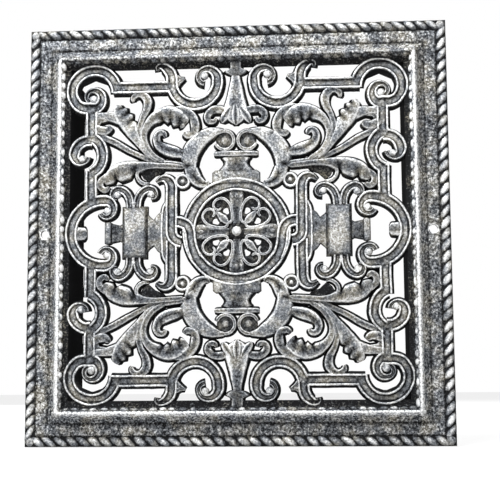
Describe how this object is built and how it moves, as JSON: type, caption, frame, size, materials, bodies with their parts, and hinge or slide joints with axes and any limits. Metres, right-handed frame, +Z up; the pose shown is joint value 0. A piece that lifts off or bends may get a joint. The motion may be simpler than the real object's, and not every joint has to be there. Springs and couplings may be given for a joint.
{
  "type": "cast iron wall grille",
  "caption": "Square cast iron wall grille with a rope edge, a moulded frame, pierced scroll work round a rosette, and two screw holes.",
  "frame": {"origin": "midpoint between the two screw holes, on the wall plane that the back rim of the frame rests on", "axes": "-Y looks out of the wall at the face, +X to the viewer's right, +Z up; the cheeks reach into the wall along +Y"},
  "size_m": [0.305, 0.055, 0.305],
  "materials": {
    "iron": "sandy grey casting, dark in the hollows and worn bright on the raised edges"
  },
  "bodies": {
    "root": {"grille": "iron"}
  },
  "joints": []
}
